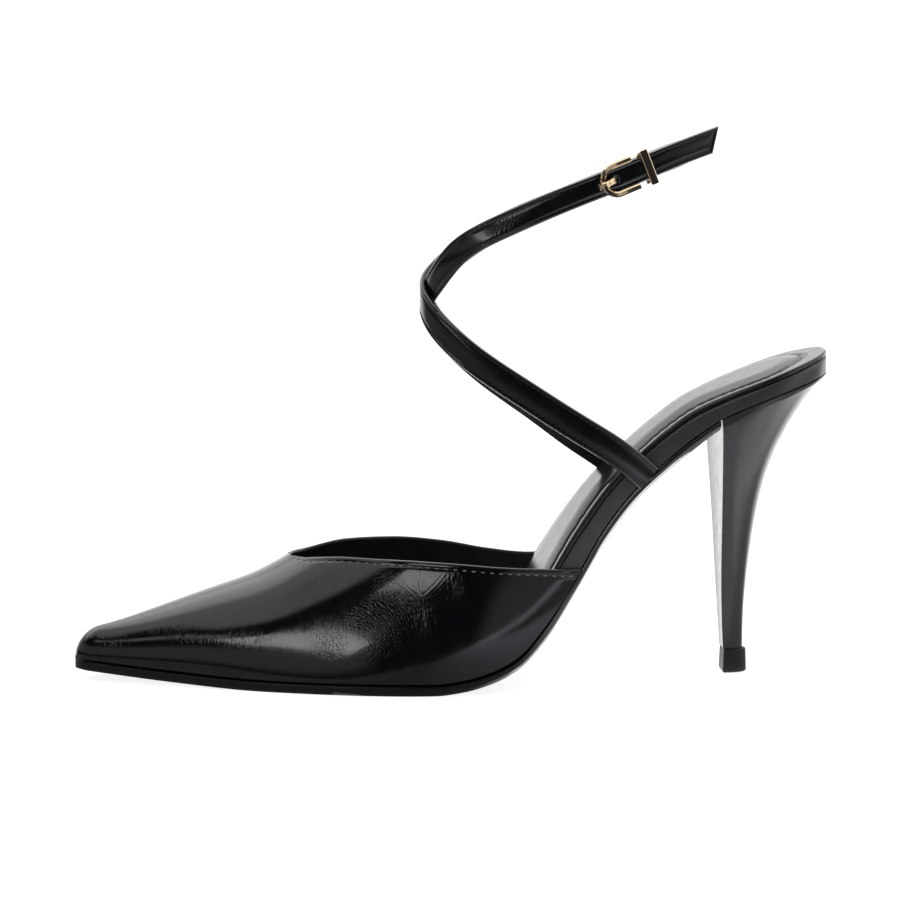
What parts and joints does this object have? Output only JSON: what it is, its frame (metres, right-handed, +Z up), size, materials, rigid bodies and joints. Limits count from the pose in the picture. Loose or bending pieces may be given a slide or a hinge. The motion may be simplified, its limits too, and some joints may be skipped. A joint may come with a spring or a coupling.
{
  "type": "pointed high-heel shoe with crossed ankle strap",
  "caption": "Woman's pointed high-heel shoe, open at the back, with a hollow vamp, a slim heel and a narrow ankle strap that crosses in front and closes with a small buckle.",
  "frame": {"origin": "centre of the shoe's box, on the floor", "axes": "+X from the toe to the heel, +Y towards the inner side of the foot, +Z up"},
  "size_m": [0.242, 0.0761, 0.1771],
  "materials": {
    "outsole": "smooth black, satin edge",
    "insole_wrap": "smooth charcoal leather, satin",
    "sock": "padded black leather, semi-gloss",
    "vamp": "crinkled black patent leather, high gloss",
    "heel_cover": "black cover, high gloss",
    "heel_tip": "matt black",
    "strap": "crinkled black patent leather, gloss, stitched edges",
    "buckle": "polished pale gold plate"
  },
  "bodies": {
    "root": {"outsole": "outsole", "insole": "insole_wrap", "sock": "sock", "vamp": "vamp", "heel": "heel_cover", "heel_tip": "heel_tip", "ankle_strap": "strap", "buckle_frame": "buckle", "buckle_prong": "buckle"}
  },
  "joints": []
}
